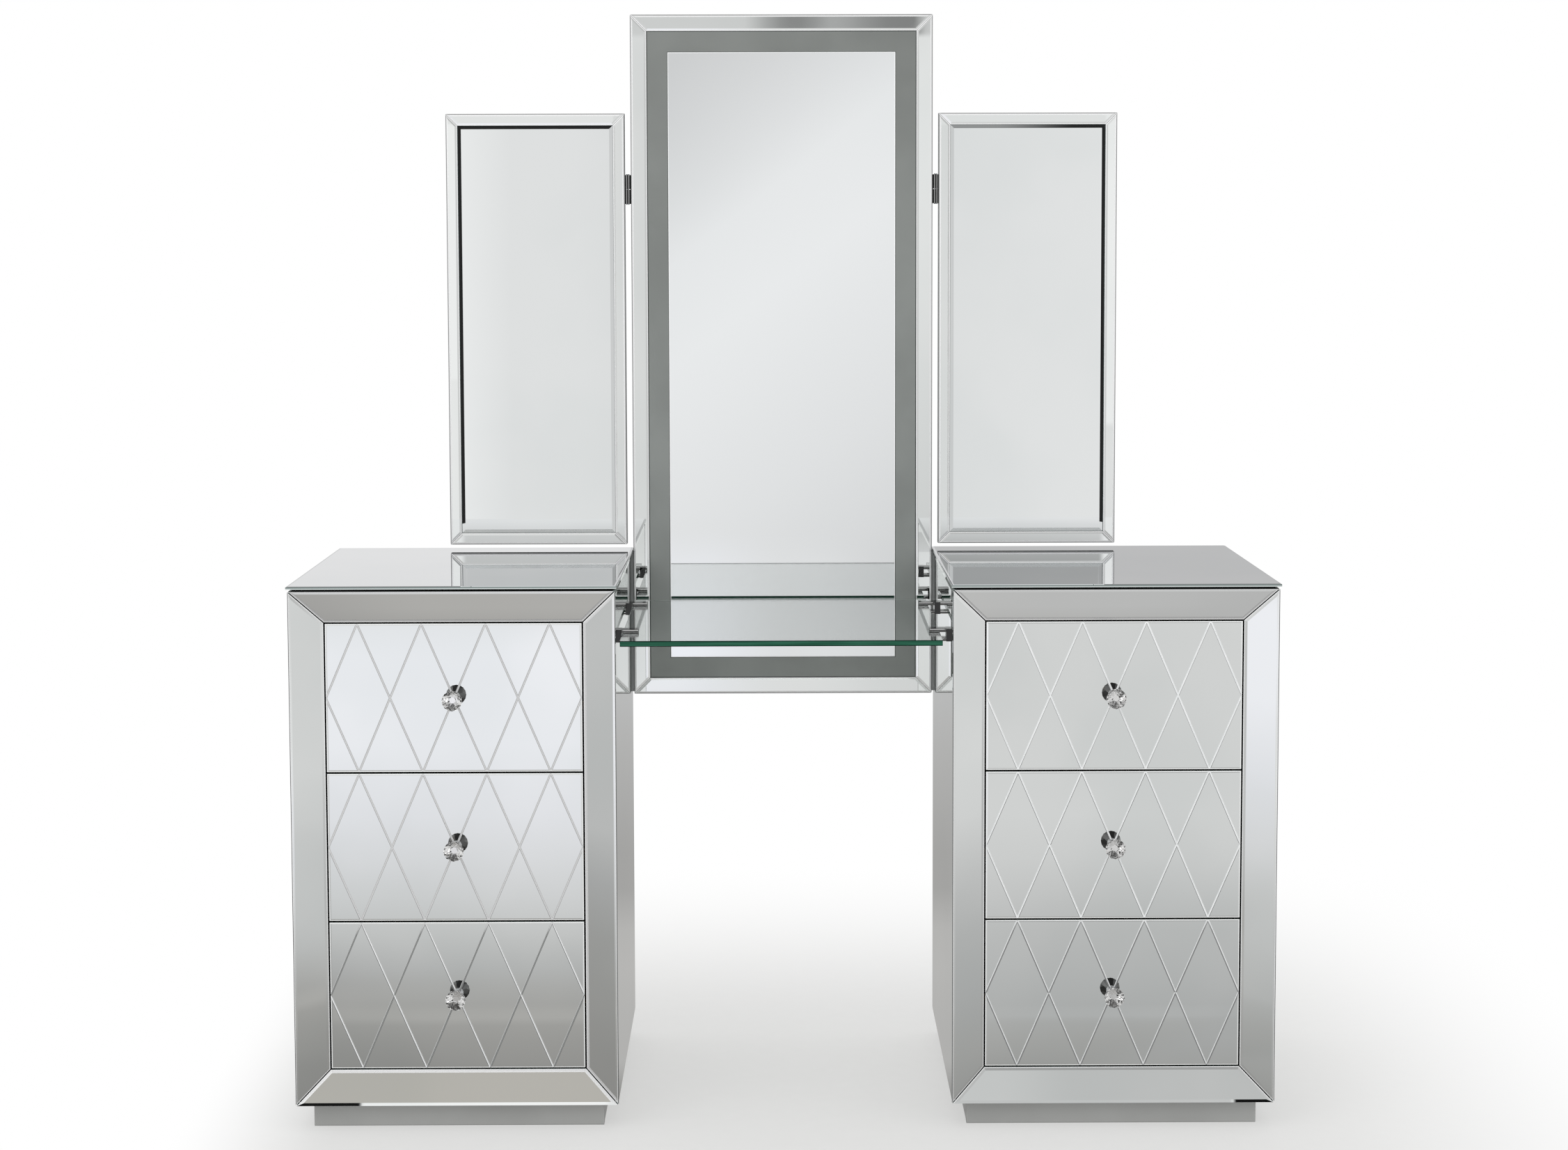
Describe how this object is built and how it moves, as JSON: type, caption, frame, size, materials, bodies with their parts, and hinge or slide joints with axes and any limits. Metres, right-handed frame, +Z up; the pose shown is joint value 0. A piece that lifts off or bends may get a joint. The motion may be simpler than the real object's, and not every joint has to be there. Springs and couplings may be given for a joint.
{
  "type": "mirrored dressing table",
  "caption": "Mirrored dressing table: drawer pedestals joined by a glass shelf, a tall centre mirror with a frosted band, and hinged wing mirrors.",
  "frame": {"origin": "on the floor, at the centre of the box round the whole table, drawers and wings closed", "axes": "+X to the viewer's right, +Y from the drawer fronts to the back, +Z up"},
  "size_m": [1.372, 0.469, 1.582],
  "materials": {
    "black_board": "fibreboard painted matt black",
    "mirror_sheet": "silvered glass with a narrow bevel",
    "top_mirror_sheet": "silvered glass with a bevelled edge",
    "mirror_strip": "silvered glass, bevelled on all four edges",
    "drawer_mirror": "silvered glass with engraved grooves",
    "centre_mirror": "silvered glass, bevelled, with a frosted band",
    "wing_mirror": "silvered glass, bevelled",
    "silver_board": "fibreboard painted silver, satin",
    "runner_wood": "bare hardwood, waxed",
    "back_panel": "hardboard, painted black",
    "drawer_wood": "board and ply, stained black, satin",
    "shelf_glass": "clear float glass with a green edge",
    "chrome": "polished",
    "steel": "zinc plated",
    "hinge_metal": "dark plated, satin",
    "mirror_tray": "powder coated, dark grey",
    "diffuser": "opal sheet",
    "light_bar": "cast resin over a light strip",
    "driver_case": "moulded",
    "black_plastic": "moulded",
    "crystal": "cut and polished crystal"
  },
  "bodies": {
    "stand": {"left_carcass": "black_board", "left_side_mirrors": "mirror_sheet", "left_top_mirror": "top_mirror_sheet", "left_frame_core": "black_board", "left_frame_strips": "mirror_strip", "left_plinth": "silver_board", "left_runners": "runner_wood", "right_carcass": "black_board", "right_side_mirrors": "mirror_sheet", "right_top_mirror": "top_mirror_sheet", "right_frame_core": "black_board", "right_frame_strips": "mirror_strip", "right_plinth": "silver_board", "right_runners": "runner_wood", "pedestal_backs": "back_panel", "glass_shelf": "shelf_glass", "shelf_clamps": "chrome", "centre_tray": "mirror_tray", "centre_back_cover": "mirror_tray", "centre_strips": "mirror_strip", "centre_glass": "centre_mirror", "centre_diffuser": "diffuser", "light_bars": "light_bar", "light_driver": "driver_case", "power_inlet": "black_plastic", "mounting_rails": "black_board", "fixed_hinge_leaves": "hinge_metal", "hinge_pins": "steel"},
    "left_top_drawer": {"left_top_box": "drawer_wood", "left_top_front": "drawer_mirror", "left_top_knob_base": "chrome", "left_top_crystal": "crystal"},
    "left_middle_drawer": {"left_middle_box": "drawer_wood", "left_middle_front": "drawer_mirror", "left_middle_knob_base": "chrome", "left_middle_crystal": "crystal"},
    "left_bottom_drawer": {"left_bottom_box": "drawer_wood", "left_bottom_front": "drawer_mirror", "left_bottom_knob_base": "chrome", "left_bottom_crystal": "crystal"},
    "left_wing": {"left_wing_tray": "mirror_tray", "left_wing_strips": "mirror_strip", "left_wing_glass": "wing_mirror", "left_hinge_leaf": "hinge_metal"},
    "right_top_drawer": {"right_top_box": "drawer_wood", "right_top_front": "drawer_mirror", "right_top_knob_base": "chrome", "right_top_crystal": "crystal"},
    "right_middle_drawer": {"right_middle_box": "drawer_wood", "right_middle_front": "drawer_mirror", "right_middle_knob_base": "chrome", "right_middle_crystal": "crystal"},
    "right_bottom_drawer": {"right_bottom_box": "drawer_wood", "right_bottom_front": "drawer_mirror", "right_bottom_knob_base": "chrome", "right_bottom_crystal": "crystal"},
    "right_wing": {"right_wing_tray": "mirror_tray", "right_wing_strips": "mirror_strip", "right_wing_glass": "wing_mirror", "right_hinge_leaf": "hinge_metal"}
  },
  "joints": [
    {"name": "left_top_drawer_slide", "type": "slide", "parent": "stand", "child": "left_top_drawer", "axis": [0, -1, 0], "range_m": [0, 0.3]},
    {"name": "left_middle_drawer_slide", "type": "slide", "parent": "stand", "child": "left_middle_drawer", "axis": [0, -1, 0], "range_m": [0, 0.3]},
    {"name": "left_bottom_drawer_slide", "type": "slide", "parent": "stand", "child": "left_bottom_drawer", "axis": [0, -1, 0], "range_m": [0, 0.3]},
    {"name": "left_wing_hinge", "type": "hinge", "parent": "stand", "child": "left_wing", "pos_m": [-0.235, 0.217, 1.318], "axis": [0, 0, 1], "range_deg": [0, 110]},
    {"name": "right_top_drawer_slide", "type": "slide", "parent": "stand", "child": "right_top_drawer", "axis": [0, -1, 0], "range_m": [0, 0.3]},
    {"name": "right_middle_drawer_slide", "type": "slide", "parent": "stand", "child": "right_middle_drawer", "axis": [0, -1, 0], "range_m": [0, 0.3]},
    {"name": "right_bottom_drawer_slide", "type": "slide", "parent": "stand", "child": "right_bottom_drawer", "axis": [0, -1, 0], "range_m": [0, 0.3]},
    {"name": "right_wing_hinge", "type": "hinge", "parent": "stand", "child": "right_wing", "pos_m": [0.235, 0.217, 1.318], "axis": [0, 0, -1], "range_deg": [0, 110]}
  ]
}
